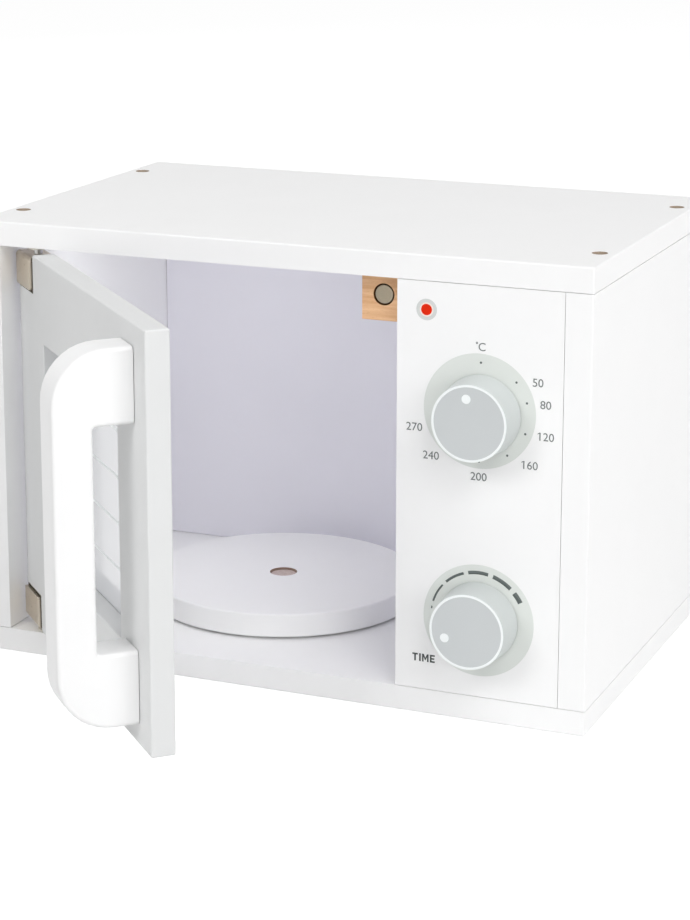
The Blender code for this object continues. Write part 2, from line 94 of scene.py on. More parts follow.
def principled(name, **values):
    """A material with nothing but a Principled shader, and that shader."""
    finish = bpy.data.materials.new(name)
    finish.use_nodes = True
    shader = finish.node_tree.nodes["Principled BSDF"]
    for socket, value in values.items():
        shader.inputs[socket.replace("_", " ")].default_value = value
    return finish, shader


def link(finish, output, shader, socket):
    """Lead a node's output into one of the shader's sockets."""
    finish.node_tree.links.new(output, shader.inputs[socket])


def lacquer(name, colour, shade, roughness, peel=1.6 * MM):
    """Sprayed lacquer: cloudy by a shade, with orange peel and a sheen that varies a little."""
    finish, shader = principled(name, IOR=1.48)
    place = add(finish, "ShaderNodeTexCoord").outputs["Object"]
    clouds = add(finish, "ShaderNodeTexNoise",
                 {"Vector": place, "Scale": 1 / (38 * MM), "Detail": 3.0, "Roughness": 0.6})
    tint = add(finish, "ShaderNodeMix",
               {0: clouds.outputs[0], 6: linear(colour), 7: linear(shade)}, data_type="RGBA")
    link(finish, tint.outputs[2], shader, "Base Color")
    sheen = add(finish, "ShaderNodeTexNoise",
                {"Vector": place, "Scale": 1 / (7 * MM), "Detail": 4.0, "Roughness": 0.65})
    swing = 0.06
    rough = add(finish, "ShaderNodeMapRange",
                {"Value": sheen.outputs[0], "To Min": roughness - swing,
                 "To Max": roughness + swing})
    link(finish, rough.outputs[0], shader, "Roughness")
    skin = add(finish, "ShaderNodeTexNoise", {"Vector": place, "Scale": 1 / peel, "Detail": 1.5})
    bump = add(finish, "ShaderNodeBump",
               {"Height": skin.outputs[0], "Strength": 0.12, "Distance": 0.06 * MM})
    link(finish, bump.outputs[0], shader, "Normal")
    return finish


def fibreboard(name, colour, dark):
    """Raw bored fibreboard: matt, with fibres that lie every way, drawn coarse enough to show."""
    finish, shader = principled(name, Roughness=0.85, IOR=1.45)
    place = add(finish, "ShaderNodeTexCoord").outputs["Object"]
    fibres = add(finish, "ShaderNodeTexNoise",
                 {"Vector": place, "Scale": 1 / (0.7 * MM), "Detail": 5.0, "Distortion": 1.5})
    tint = add(finish, "ShaderNodeMix",
               {0: fibres.outputs[0], 6: linear(dark), 7: linear(colour)}, data_type="RGBA")
    link(finish, tint.outputs[2], shader, "Base Color")
    bump = add(finish, "ShaderNodeBump",
               {"Height": fibres.outputs[0], "Strength": 0.5, "Distance": 0.1 * MM})
    link(finish, bump.outputs[0], shader, "Normal")
    return finish


white_lacquer = lacquer("sprayed_white_lacquer", "#f5f5f5", "#f2f2f2", 0.42)
raw_board = fibreboard("bored_raw_fibreboard", "#cdbba8", "#a08f7d")


def as_piece(name, mesh, body, slot, *finishes):
    """An object for a finished mesh, riding on its body."""
    made = bpy.data.objects.new(name, mesh)
    bpy.context.scene.collection.objects.link(made)
    for finish in finishes:
        mesh.materials.append(finish)
    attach(made, body)
    return made


def evaluated(made):
    """The plain mesh that an object's modifiers give."""
    shown = made.evaluated_get(bpy.context.evaluated_depsgraph_get())
    return bpy.data.meshes.new_from_object(shown)


def smoothed(mesh, level=math.radians(0.2), blend=math.radians(35)):
    """Shade a mesh so that its flats stay flat and its roundings run into them evenly.

    Faces that meet within level are one patch, and patches that meet within blend shade as one
    smooth surface.
    """
    shape = bmesh.new()
    shape.from_mesh(mesh)
    patch_of = {}
    patches = []
    for first in shape.faces:
        if first in patch_of:
            continue
        members = [first]
        patch_of[first] = len(patches)
        for face in members:
            for near in {other for edge in face.edges for other in edge.link_faces}:
                if near not in patch_of and near.normal.angle(face.normal, math.pi) < level:
                    patch_of[near] = len(patches)
                    members.append(near)
        patches.append(members)
    area = [sum(face.calc_area() for face in members) for members in patches]
    facing = [sum((face.normal * face.calc_area() for face in members), Vector()).normalized()
              for members in patches]
    # Where patches meet at a slight angle, the smaller is part of a rounding, and so is the other
    # unless it is much larger, which makes it one of the flats.
    much_larger = 2
    curved = set()
    for edge in shape.edges:
        sides = {patch_of[face] for face in edge.link_faces}
        if len(sides) == 2:
            small, large = sorted(sides, key=area.__getitem__)
            if facing[small].angle(facing[large], math.pi) < blend:
                curved.add(small)
                if area[large] < much_larger * area[small]:
                    curved.add(large)
    normals = []
    for face in shape.faces:
        own = facing[patch_of[face]]
        for corner in face.loops:
            near = [other for other in corner.vert.link_loops
                    if own.angle(facing[patch_of[other.face]], math.pi) < blend]
            flats = {patch_of[other.face] for other in near} - curved
            if flats:
                normals.append(facing[min(flats, key=lambda flat: own.angle(facing[flat]))])
            else:
                whole = sum((facing[patch_of[other.face]] * area[patch_of[other.face]]
                             * other.calc_angle() for other in near), Vector())
                normals.append(whole.normalized())
    shape.free()
    mesh.shade_smooth()
    mesh.normals_split_custom_set(normals)
    return mesh


# Corners closer than this are one corner: a CAD mesh is loose triangles until they are welded.
weld = 0.002 * MM


def dress(node, name, body, slot, finish, bare=None, is_bare=None):
    """Stand a smooth copy in for a node; is_bare(middle, normal) picks the faces left bare."""
    shape = bmesh.new()
    shape.from_mesh(frame["nodes"][node].data)
    bmesh.ops.remove_doubles(shape, verts=shape.verts, dist=weld)
    for face in shape.faces:
        face.material_index = int(bool(is_bare and is_bare(face.calc_center_median(), face.normal)))
    mesh = bpy.data.meshes.new(name)
    shape.to_mesh(mesh)
    shape.free()
    finishes = [finish, bare] if bare else [finish]
    made = as_piece(name, smoothed(mesh), body, slot, *finishes)
    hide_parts(node)


# A face counts as on a surface when its middle lies no further from it than this.
near_surface = 0.1 * MM
deck_screw_nodes = [f"{row}_screw_{number}" for row in ("top", "bottom") for number in (1, 2, 3, 4)]
deck_screw_boxes = [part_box(node) for node in deck_screw_nodes]
bore_reach = 4.2 * MM


def in_counterbore(middle, normal):
    """Whether a face belongs to the wall or floor of a hole for one of the deck screws."""
    away = min(math.hypot(middle.x - (low.x + high.x) / 2, middle.y - (low.y + high.y) / 2)
               for low, high in deck_screw_boxes)
    on_outside = any(abs(middle.z - corner.z) < near_surface for corner in cad_box)
    return away < bore_reach and not on_outside


dress("top_panel", "top_board", "cabinet", "white_paint", white_lacquer, raw_board, in_counterbore)
dress("bottom_panel", "bottom_board", "cabinet", "white_paint", white_lacquer, raw_board,
      in_counterbore)
for board in ("left_side_panel", "right_side_panel", "control_panel"):
    dress(board, board.replace("panel", "board"), "cabinet", "white_paint", white_lacquer)

# Oven lining. The back board and the divider are sprayed white before they go in, and their faint
# lilac tint is painted shade, the cool cast of the light inside the oven. They are duller than the
# cabinet's lacquer, so they take the light of the oven evenly.

# The lilac in these colours is painted shade on white lacquer.
oven_lacquer = lacquer("white_lacquer_painted_lilac_shade", "#edecf3", "#e9e8ef", 0.5)
for board in ("back_panel", "divider_panel"):
    dress(board, board.replace("panel", "board"), "cabinet", "oven_paint", oven_lacquer)

# Deck screws. Eight zinc plated pan head screws with a cross recess, driven deep into counterbores
# in the top and bottom boards, where they pull the boards down on the sides.


def zinc(name, colour, stained, roughness):
    """Bright zinc on steel: a faint mottle of crystals, duller where it is stained."""
    finish, shader = principled(name, Metallic=1.0)
    place = add(finish, "ShaderNodeTexCoord").outputs["Object"]
    spangle = add(finish, "ShaderNodeTexVoronoi", {"Vector": place, "Scale": 1 / (0.5 * MM)})
    stain = add(finish, "ShaderNodeTexNoise",
                {"Vector": place, "Scale": 1 / (1.8 * MM), "Detail": 4.0})
    tint = add(finish, "ShaderNodeMix",
               {0: stain.outputs[0], 6: linear(colour), 7: linear(stained)}, data_type="RGBA")
    link(finish, tint.outputs[2], shader, "Base Color")
    rough = add(finish, "ShaderNodeMapRange",
                {"Value": stain.outputs[0], "To Min": roughness - 0.08, "To Max": roughness + 0.1})
    link(finish, rough.outputs[0], shader, "Roughness")
    bump = add(finish, "ShaderNodeBump",
               {"Height": spangle.outputs[0], "Strength": 0.08, "Distance": 0.03 * MM})
    link(finish, bump.outputs[0], shader, "Normal")
    return finish


zinc_plate = zinc("bright_zinc_plate", "#d3d4d6", "#a9a8a4", 0.32)


def turned(profile, steps, closed=False):
    """A mesh in bmesh, turned about +Z from (radius, height) points."""
    shape = bmesh.new()
    corners = [shape.verts.new((radius, 0, height)) for radius, height in profile]
    pairs = list(zip(corners, corners[1:]))
    if closed:
        pairs.append((corners[-1], corners[0]))
    edges = [shape.edges.new(pair) for pair in pairs]
    bmesh.ops.spin(shape, geom=corners + edges, cent=(0, 0, 0), axis=(0, 0, 1),
                   angle=math.tau, steps=steps, use_merge=True)
    bmesh.ops.remove_doubles(shape, verts=shape.verts, dist=weld)
    bmesh.ops.recalc_face_normals(shape, faces=shape.faces)
    return shape


def arc(x, y, radius, start, stop, steps=6):
    """Points of an arc about (x, y) from one angle to another, in degrees."""
    angles = [math.radians(start + (stop - start) * step / steps) for step in range(steps + 1)]
    return [(x + radius * math.cos(angle), y + radius * math.sin(angle)) for angle in angles]


# A cross recess's reach at the top of the head sets half a wing's width and the reach at its floor.
cross_wing_share = 0.21
cross_floor_share = 0.45


def cross_recess(head_top, reach, depth):
    """The cutter for a cross recess, which narrows as it goes down into a screw's head."""
    half = cross_wing_share * reach
    quarter = [Vector((reach, -half)), Vector((reach, half)), Vector((half, half))]
    turns = [Matrix.Rotation(turn * math.pi / 2, 2) for turn in range(4)]
    outline = [turn @ corner for turn in turns for corner in quarter]
    shape = bmesh.new()
    levels = ((cross_floor_share, -depth), (2 - cross_floor_share, depth))
    rings = [[shape.verts.new((corner.x * share, corner.y * share, head_top + up))
              for corner in outline] for share, up in levels]
    for ring in rings:
        shape.faces.new(ring)
    for number in range(len(outline)):
        shape.faces.new((rings[0][number - 1], rings[0][number], rings[1][number],
                         rings[1][number - 1]))
    bmesh.ops.recalc_face_normals(shape, faces=shape.faces)
    return shape


def in_scene(name, shape):
    """A loose object for a bmesh, used to make a piece and then removed."""
    mesh = bpy.data.meshes.new(name)
    shape.to_mesh(mesh)
    shape.free()
    made = bpy.data.objects.new(name, mesh)
    bpy.context.scene.collection.objects.link(made)
    return made


def screw_pattern(name, profile, head_top, reach, depth):
    """One screw with its cross recess, standing on the origin, to be repeated."""
    body = in_scene(name, turned(profile, steps=32))
    cutter = in_scene(name + "_recess", cross_recess(head_top, reach, depth))
    sink = body.modifiers.new("recess", "BOOLEAN")
    sink.object = cutter
    cut = evaluated(body)
    body.modifiers.clear()
    body.data = smoothed(cut)
    bpy.data.objects.remove(cutter)
    return body


def tree_socket(tree, name, kind, way="INPUT"):
    """Give a node tree a named input or output."""
    return tree.interface.new_socket(name, in_out=way, socket_type=kind)


def fastener_tree():
    """Set one pattern on each point, with its +Z along the point's facing attribute."""
    tree = bpy.data.node_groups.new("fasteners_on_points", "GeometryNodeTree")
    tree_socket(tree, "Seats", "NodeSocketGeometry")
    tree_socket(tree, "Pattern", "NodeSocketObject")
    tree_socket(tree, "Finish", "NodeSocketMaterial")
    tree_socket(tree, "Fasteners", "NodeSocketGeometry", "OUTPUT")
    given = add(tree, "NodeGroupInput")
    facing = add(tree, "GeometryNodeInputNamedAttribute", {"Name": "facing"},
                 data_type="FLOAT_VECTOR")
    turn = add(tree, "FunctionNodeAlignRotationToVector", {"Vector": facing.outputs[0]}, axis="Z")
    pattern = add(tree, "GeometryNodeObjectInfo", {"Object": given.outputs["Pattern"]})
    rows = add(tree, "GeometryNodeInstanceOnPoints",
               {"Points": given.outputs["Seats"], "Instance": pattern.outputs["Geometry"],
                "Rotation": turn.outputs[0]})
    real = add(tree, "GeometryNodeRealizeInstances", {0: rows.outputs[0]})
    coated = add(tree, "GeometryNodeSetMaterial",
                 {"Geometry": real.outputs[0], "Material": given.outputs["Finish"]})
    add(tree, "NodeGroupOutput", {"Fasteners": coated.outputs[0]})
    return tree


def grown(base, tree, **values):
    """The plain mesh that a node tree makes from a base mesh and its named inputs, in one finish."""
    made = bpy.data.objects.new("growing", base)
    bpy.context.scene.collection.objects.link(made)
    modifier = made.modifiers.new("growing", "NODES")
    modifier.node_group = tree
    for item in tree.interface.items_tree:
        if item.in_out == "INPUT" and item.name in values:
            modifier[item.identifier] = values[item.name]
    mesh = evaluated(made)
    bpy.data.objects.remove(made)
    finishes = [finish for finish in mesh.materials if finish]
    mesh.materials.clear()
    for finish in finishes[:1]:
        mesh.materials.append(finish)
    return mesh


def points(places, facings):
    """A mesh of single points with a facing attribute."""
    mesh = bpy.data.meshes.new("seats")
    mesh.from_pydata([tuple(place) for place in places], [], [])
    facing = mesh.attributes.new("facing", "FLOAT_VECTOR", "POINT")
    for number, direction in enumerate(facings):
        facing.data[number].vector = direction
    return mesh


fasteners = fastener_tree()
low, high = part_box("top_screw_1")
deck_head_radius = (high.x - low.x) / 2
deck_head_height = 2.4 * MM
deck_shank_radius = 1.8 * MM
deck_shank = high.z - low.z - deck_head_height
deck_cross_reach = 1.7 * MM
deck_cross_depth = 1.3 * MM
dome_radius = deck_head_height / 2
deck_profile = [(0, -deck_shank), (deck_shank_radius, -deck_shank), (deck_shank_radius, 0),
                (deck_head_radius, 0)]
deck_profile += arc(deck_head_radius - dome_radius, dome_radius, dome_radius, 0, 90)
deck_profile.append((0, deck_head_height))
deck_pattern = screw_pattern("deck_screw_pattern", deck_profile, deck_head_height,
                             deck_cross_reach, deck_cross_depth)
deck_seats = []
deck_facings = []
for node in deck_screw_nodes:
    low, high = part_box(node)
    up = 1 if node.startswith("top") else -1
    head_seat = high.z - deck_head_height if up > 0 else low.z + deck_head_height
    deck_seats.append(((low.x + high.x) / 2, (low.y + high.y) / 2, head_seat))
    deck_facings.append((0, 0, up))
deck_screws = as_piece("deck_screws", grown(points(deck_seats, deck_facings), fasteners,
                                            Pattern=deck_pattern, Finish=zinc_plate),
                       "cabinet", "zinc_steel")
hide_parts(*deck_screw_nodes)
bpy.data.objects.remove(deck_pattern)

# Dial prints. Screen printed on the lacquered control board before the knobs go on: two pale grey
# green grounds, dark marks round them, and numbers in a thin sans serif. Ink is duller than lacquer.

panel_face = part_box("control_panel")[0].y
ink_depth = 0.05 * MM


def ink(name, colour, worn, gloss=0.5):
    """Screen ink: nearly flat in colour, with the mesh's stipple, drawn coarse enough to show."""
    finish, shader = principled(name, IOR=1.46, Specular_IOR_Level=gloss)
    place = add(finish, "ShaderNodeTexCoord").outputs["Object"]
    stipple = add(finish, "ShaderNodeTexNoise",
                  {"Vector": place, "Scale": 1 / (0.45 * MM), "Detail": 2.0})
    tint = add(finish, "ShaderNodeMix",
               {0: stipple.outputs[0], 6: linear(colour), 7: linear(worn)}, data_type="RGBA")
    link(finish, tint.outputs[2], shader, "Base Color")
    rough = add(finish, "ShaderNodeMapRange",
                {"Value": stipple.outputs[0], "To Min": 0.5, "To Max": 0.6})
    link(finish, rough.outputs[0], shader, "Roughness")
    bump = add(finish, "ShaderNodeBump",
               {"Height": stipple.outputs[0], "Strength": 0.05, "Distance": 0.02 * MM})
    link(finish, bump.outputs[0], shader, "Normal")
    return finish


def on_panel(x, z, lift):
    """The place of a print drawn in local X and Y, facing out of the control board."""
    return Matrix.Translation((x, panel_face - lift, z)) @ Matrix.Rotation(math.pi / 2, 4, "X")


def joined(*shapes):
    """One mesh from bmeshes or meshes that are each in place already."""
    whole = bmesh.new()
    for shape in shapes:
        mesh = shape
        if isinstance(shape, bmesh.types.BMesh):
            mesh = bpy.data.meshes.new("part")
            shape.to_mesh(mesh)
            shape.free()
        whole.from_mesh(mesh)
    result = bpy.data.meshes.new("joined")
    whole.to_mesh(result)
    whole.free()
    return result


def ink_disc(radius, place, steps=96):
    """A round spot of ink, thinner at its rim."""
    shape = turned([(0, 0), (radius, 0), (radius, ink_depth / 2), (radius - ink_depth, ink_depth),
                    (0, ink_depth)], steps)
    bmesh.ops.transform(shape, matrix=place, verts=shape.verts)
    return shape


def ink_ring(inner, outer, place, steps=96):
    """A ring of ink."""
    shape = turned([(inner, 0), (outer, 0), (outer, ink_depth), (inner, ink_depth)], steps,
                   closed=True)
    bmesh.ops.transform(shape, matrix=place, verts=shape.verts)
    return shape


ground_ink = ink("pale_grey_green_ink", "#dde1dd", "#dadeda")
mark_ink = ink("dark_grey_ink", "#59615f", "#636b69")
word_ink = ink("charcoal_ink", "#3c4140", "#464b4a")
letter_ink = ink("grey_letter_ink", "#646969", "#6f7474")
temperature_dial = (104.1 * MM, 149.4 * MM)
time_dial = (104.8 * MM, 49.5 * MM)
dial_radius = 27 * MM
grounds = [ink_disc(dial_radius, on_panel(*dial, 0)) for dial in (temperature_dial, time_dial)]
as_piece("dial_grounds", joined(*grounds), "cabinet", "white_paint", ground_ink)

# Marks on the dials. A dot stands at each temperature, and the time dial has dashes that thicken
# clockwise. All of it is one pass of dark grey ink over the pale grounds, a little out of register.


def spot_tree():
    """Set a round spot of ink on each point, with its flat side on the board."""
    tree = bpy.data.node_groups.new("ink_spots", "GeometryNodeTree")
    tree_socket(tree, "Centres", "NodeSocketGeometry")
    tree_socket(tree, "Radius", "NodeSocketFloat")
    tree_socket(tree, "Depth", "NodeSocketFloat")
    tree_socket(tree, "Ink", "NodeSocketMaterial")
    tree_socket(tree, "Spots", "NodeSocketGeometry", "OUTPUT")
    given = add(tree, "NodeGroupInput")
    facing = add(tree, "GeometryNodeInputNamedAttribute", {"Name": "facing"},
                 data_type="FLOAT_VECTOR")
    turn = add(tree, "FunctionNodeAlignRotationToVector", {"Vector": facing.outputs[0]}, axis="Z")
    spot = add(tree, "GeometryNodeMeshCylinder",
               {"Vertices": 20, "Radius": given.outputs["Radius"], "Depth": given.outputs["Depth"]})
    spots = add(tree, "GeometryNodeInstanceOnPoints",
                {"Points": given.outputs["Centres"], "Instance": spot.outputs["Mesh"],
                 "Rotation": turn.outputs[0]})
    real = add(tree, "GeometryNodeRealizeInstances", {0: spots.outputs[0]})
    inked = add(tree, "GeometryNodeSetMaterial",
                {"Geometry": real.outputs[0], "Material": given.outputs["Ink"]})
    add(tree, "NodeGroupOutput", {"Spots": inked.outputs[0]})
    return tree


def dash_tree():
    """Sweep a flat stroke of ink along an arc about the origin, in local X and Y."""
    tree = bpy.data.node_groups.new("ink_dash", "GeometryNodeTree")
    tree_socket(tree, "Base", "NodeSocketGeometry")
    for name in ("Radius", "Start", "Sweep", "Width", "Depth"):
        tree_socket(tree, name, "NodeSocketFloat")
    tree_socket(tree, "Ink", "NodeSocketMaterial")
    tree_socket(tree, "Dash", "NodeSocketGeometry", "OUTPUT")
    given = add(tree, "NodeGroupInput")
    path = add(tree, "GeometryNodeCurveArc",
               {"Resolution": 24, "Radius": given.outputs["Radius"],
                "Start Angle": given.outputs["Start"], "Sweep Angle": given.outputs["Sweep"]},
               mode="RADIUS")
    level = add(tree, "GeometryNodeSetCurveNormal", {"Curve": path.outputs["Curve"]}, mode="Z_UP")
    stroke = add(tree, "GeometryNodeCurvePrimitiveQuadrilateral",
                 {"Width": given.outputs["Width"], "Height": given.outputs["Depth"]})
    swept = add(tree, "GeometryNodeCurveToMesh",
                {"Curve": level.outputs[0], "Profile Curve": stroke.outputs[0], "Fill Caps": True})
    real = add(tree, "GeometryNodeRealizeInstances", {0: swept.outputs[0]})
    inked = add(tree, "GeometryNodeSetMaterial",
                {"Geometry": real.outputs[0], "Material": given.outputs["Ink"]})
    add(tree, "NodeGroupOutput", {"Dash": inked.outputs[0]})
    return tree


# The marks lie on the ground's coat, so their own coat has its middle this far out of the board.
mark_lift = 1.5 * ink_depth
mark_ring = 23.2 * MM


def clock_point(dial, radius, degrees):
    """The place on the control board at a clockwise angle from the top of a dial."""
    angle = math.radians(degrees)
    return (dial[0] + radius * math.sin(angle), panel_face - mark_lift,
            dial[1] + radius * math.cos(angle))


dot_radius = 0.55 * MM
dot_angles = (0.4, 47.9, 74.1, 110.3, 144.9, 180.5, 225.5, 252.5)
dots_middle = (104.4 * MM, 149.0 * MM)
dot_places = [clock_point(dots_middle, mark_ring, angle) for angle in dot_angles]
dots = grown(points(dot_places, [(0, -1, 0)] * len(dot_places)), spot_tree(),
             Radius=dot_radius, Depth=ink_depth, Ink=mark_ink)
# Each dash runs between two angles, in degrees clockwise from the top, and has its width in mm.
dashes = []
dashing = dash_tree()
for first, last, width in ((-82.5, -79.5, 0.6), (-73.2, -49.3, 0.9), (-43.3, -18.4, 1.2),
                           (-12.7, 11.4, 1.65), (17.5, 41.9, 1.9), (48.4, 61.5, 2.35)):
    dash = grown(bpy.data.meshes.new("base"), dashing, Radius=mark_ring,
                 Start=math.radians(90 - last), Sweep=math.radians(last - first),
                 Width=width * MM, Depth=ink_depth, Ink=mark_ink)
    dash.transform(on_panel(*time_dial, mark_lift))
    dashes.append(dash)
as_piece("dial_marks", joined(dots, *dashes), "cabinet", "white_paint", mark_ink)

# Numbers and words on the board, in grey ink on the bare lacquer: the temperatures with the degree
# sign over them, and a bolder, darker word at the time dial's foot. The font's 1 is a bare stem, so
# the flag that the print has is added to it.


def lettering(text, height, x, z):
    """A line of print of a given height, centred on a place on the control board."""
    curve = bpy.data.curves.new(text, "FONT")
    curve.body = text
    curve.extrude = ink_depth / 2 / height
    curve.resolution_u = 6
    made = bpy.data.objects.new(text, curve)
    bpy.context.scene.collection.objects.link(made)
    mesh = evaluated(made)
    bpy.data.objects.remove(made)
    across = [vertex.co.x for vertex in mesh.vertices]
    along = [vertex.co.y for vertex in mesh.vertices]
    scale = height / (max(along) - min(along))
    middle = Vector(((max(across) + min(across)) / 2, (max(along) + min(along)) / 2, 0))
    mesh.transform(Matrix.Scale(scale, 4) @ Matrix.Translation(-middle))
    mesh.transform(on_panel(x, z, ink_depth / 2))
    return mesh


grid_height = 10
letter_gap = 1.7


def word(letters, height, x, z):
    """Print cut to plain outlines on a grid, centred on a place on the board."""
    shape = bmesh.new()
    start = 0
    for outline in letters:
        shape.faces.new([shape.verts.new((start + across, up, 0)) for across, up in outline])
        start += max(across for across, up in outline) + letter_gap
    span = start - letter_gap
    raised = bmesh.ops.extrude_face_region(shape, geom=list(shape.faces))["geom"]
    lifted = [item for item in raised if isinstance(item, bmesh.types.BMVert)]
    bmesh.ops.translate(shape, verts=lifted, vec=(0, 0, ink_depth / height * grid_height))
    bmesh.ops.recalc_face_normals(shape, faces=shape.faces)
    shape.transform(on_panel(x, z, 0) @ Matrix.Scale(height / grid_height, 4)
                    @ Matrix.Translation((-span / 2, -grid_height / 2, 0)))
    return shape


print_height = 3.8 * MM
# Each number with its middle on the board, in mm right of the cabinet's middle and above its foot.
numbers = (("C", 105.0, 179.5), ("50", 131.8, 165.3), ("80", 135.6, 155.3),
           ("120", 136.3, 140.5), ("160", 128.9, 126.5), ("200", 104.1, 118.6),
           ("240", 80.8, 126.3), ("270", 72.5, 139.1))
drawn = [lettering(text, print_height, x * MM, z * MM) for text, x, z in numbers]
flag_of_one = [(0.2, 10), (-0.7, 9.4), (-2.2, 8.5), (-2.2, 7.4), (0.2, 8.8)]
flags = [word([flag_of_one], print_height, min(vertex.co.x for vertex in mesh.vertices), z * MM)
         for (text, x, z), mesh in zip(numbers, drawn) if text.startswith("1")]
degree_place = (102.5 * MM, 181.2 * MM)
degree_inner = 0.18 * MM
degree_outer = 0.52 * MM
degree_sign = ink_ring(degree_inner, degree_outer, on_panel(*degree_place, 0), steps=24)
as_piece("dial_numbers", joined(*drawn, *flags, degree_sign), "cabinet", "white_paint", letter_ink)

bold_t = [(0, 10), (0, 8), (2.5, 8), (2.5, 0), (4.7, 0), (4.7, 8), (7.2, 8), (7.2, 10)]
bold_i = [(0, 0), (2.2, 0), (2.2, 10), (0, 10)]
bold_m = [(0, 0), (2, 0), (2, 6.2), (4.3, 1.4), (6.6, 6.2), (6.6, 0), (8.6, 0), (8.6, 10),
          (6.4, 10), (4.3, 5.2), (2.2, 10), (0, 10)]
bold_e = [(0, 0), (6.4, 0), (6.4, 2), (2.2, 2), (2.2, 4.1), (5.8, 4.1), (5.8, 5.9), (2.2, 5.9),
          (2.2, 8), (6.4, 8), (6.4, 10), (0, 10)]
word_place = (78.0 * MM, 27.6 * MM)
time_word = word((bold_t, bold_i, bold_m, bold_e), print_height, *word_place)
as_piece("time_word", joined(time_word), "cabinet", "white_paint", word_ink)

# Indicator. A pilot light printed in the board's top corner in three coats of ink: a grey bezel, a
# warm white gap and a red spot.

pilot_place = (78.1 * MM, 194.6 * MM)
pilot_coats = (("pilot_bezel", 5.0 * MM, ink("light_grey_ink", "#d1d3d2", "#ced0cf")),
               ("pilot_halo", 3.3 * MM, ink("warm_white_ink", "#f4e7de", "#f1e3d9")),
               ("pilot_spot", 2.65 * MM, ink("signal_red_ink", "#e22c0c", "#d8280a", gloss=0.12)))
for coat, (name, radius, finish) in enumerate(pilot_coats):
    printed = ink_disc(radius, on_panel(*pilot_place, coat * ink_depth))
    as_piece(name, joined(printed), "cabinet", "white_paint", finish)

# Knobs. Two turned wooden drums, a little wider at the foot, sprayed pale grey with a darker face,
# which is printed with a thin white ring and a pointer dot. Each is screwed on from inside, over a
# washer.

drum_lacquer = lacquer("sprayed_pale_grey_lacquer", "#cbd0cf", "#c8cdcc", 0.45, peel=1.2 * MM)
face_lacquer = lacquer("sprayed_mid_grey_lacquer", "#c5c9ca", "#c2c6c7", 0.45, peel=1.2 * MM)
white_ink = ink("white_ink", "#f1f5f5", "#ecf0f0")
ring_outer = 17.9 * MM
ring_width = 1.1 * MM
pointer_radius = 2.15 * MM
pointer_reach = 11.3 * MM
# A face is flat to an axis when at least this share of its normal lies along it.
flat_facing = 0.99


def on_knob_face(middle, normal):
    """Whether a face of a knob is its flat front."""
    return normal.y < -flat_facing


# Each pointer's angle is in degrees, clockwise from the top.
for name, pointer_angle in (("temperature", -7), ("time", -111)):
    body = f"{name}_knob"
    dress(body, f"{name}_knob_drum", body, "knob_paint", drum_lacquer, face_lacquer, on_knob_face)
    low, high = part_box(body)
    centre = Vector(((low.x + high.x) / 2, low.y, (low.z + high.z) / 2))
    upright = Matrix.Rotation(math.pi / 2, 4, "X")
    face = Matrix.Translation(centre) @ upright
    angle = math.radians(pointer_angle)
    pointer = Matrix.Translation(centre + pointer_reach * Vector((math.sin(angle), 0,
                                                                  math.cos(angle)))) @ upright
    as_piece(f"{name}_knob_print",
             joined(ink_ring(ring_outer - ring_width, ring_outer, face),
                    ink_disc(pointer_radius, pointer, steps=32)),
             body, "knob_paint", white_ink)
    dress(f"{name}_washer", f"{name}_knob_washer", body, "zinc_steel", zinc_plate)
    dress(f"{name}_axle_screw", f"{name}_knob_screw", body, "zinc_steel", zinc_plate)

# Turntable. A turned disc of white lacquered board that spins on a nylon glide. Its middle is bored
# after spraying, so the wall of the recess is raw, and a beech pin with a flat head holds it down.


def beech(name, pale, dark, ray, grain):
    """Planed beech: soft growth bands along the grain axis, crossed by small darker ray flecks."""
    finish, shader = principled(name, IOR=1.45)
    place = add(finish, "ShaderNodeTexCoord").outputs["Object"]
    band_scale = [1 / (1.4 * MM)] * 3
    band_scale[grain] = 1 / (26 * MM)
    fleck_scale = [1 / (0.3 * MM)] * 3
    fleck_scale[grain] = 1 / (2.4 * MM)
    band_place = add(finish, "ShaderNodeMapping", {"Vector": place, "Scale": band_scale})
    bands = add(finish, "ShaderNodeTexNoise",
                {"Vector": band_place.outputs[0], "Scale": 1.0, "Detail": 4.0, "Distortion": 0.4})
    fleck_place = add(finish, "ShaderNodeMapping", {"Vector": place, "Scale": fleck_scale})
    flecks = add(finish, "ShaderNodeTexNoise",
                 {"Vector": fleck_place.outputs[0], "Scale": 1.0, "Detail": 2.0})
    banded = add(finish, "ShaderNodeMapRange",
                 {"Value": bands.outputs[0], "From Min": 0.35, "From Max": 0.68})
    wood = add(finish, "ShaderNodeMix",
               {0: banded.outputs[0], 6: linear(pale), 7: linear(dark)}, data_type="RGBA")
    sparse = add(finish, "ShaderNodeMapRange",
                 {"Value": flecks.outputs[0], "From Min": 0.58, "From Max": 0.74, "To Max": 0.7})
    flecked = add(finish, "ShaderNodeMix",
                  {0: sparse.outputs[0], 6: wood.outputs[2], 7: linear(ray)}, data_type="RGBA")
    link(finish, flecked.outputs[2], shader, "Base Color")
    rough = add(finish, "ShaderNodeMapRange",
                {"Value": bands.outputs[0], "To Min": 0.5, "To Max": 0.66})
    link(finish, rough.outputs[0], shader, "Roughness")
    bump = add(finish, "ShaderNodeBump",
               {"Height": flecks.outputs[0], "Strength": 0.25, "Distance": 0.05 * MM})
    link(finish, bump.outputs[0], shader, "Normal")
    return finish


X_GRAIN, Z_GRAIN = 0, 2
pin_beech = beech("end_grain_beech", "#cbbcb7", "#bba8a2", "#a89088", Z_GRAIN)
disc_low, disc_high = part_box("turntable")
disc_centre = (disc_low + disc_high) / 2
recess_reach = 7.8 * MM


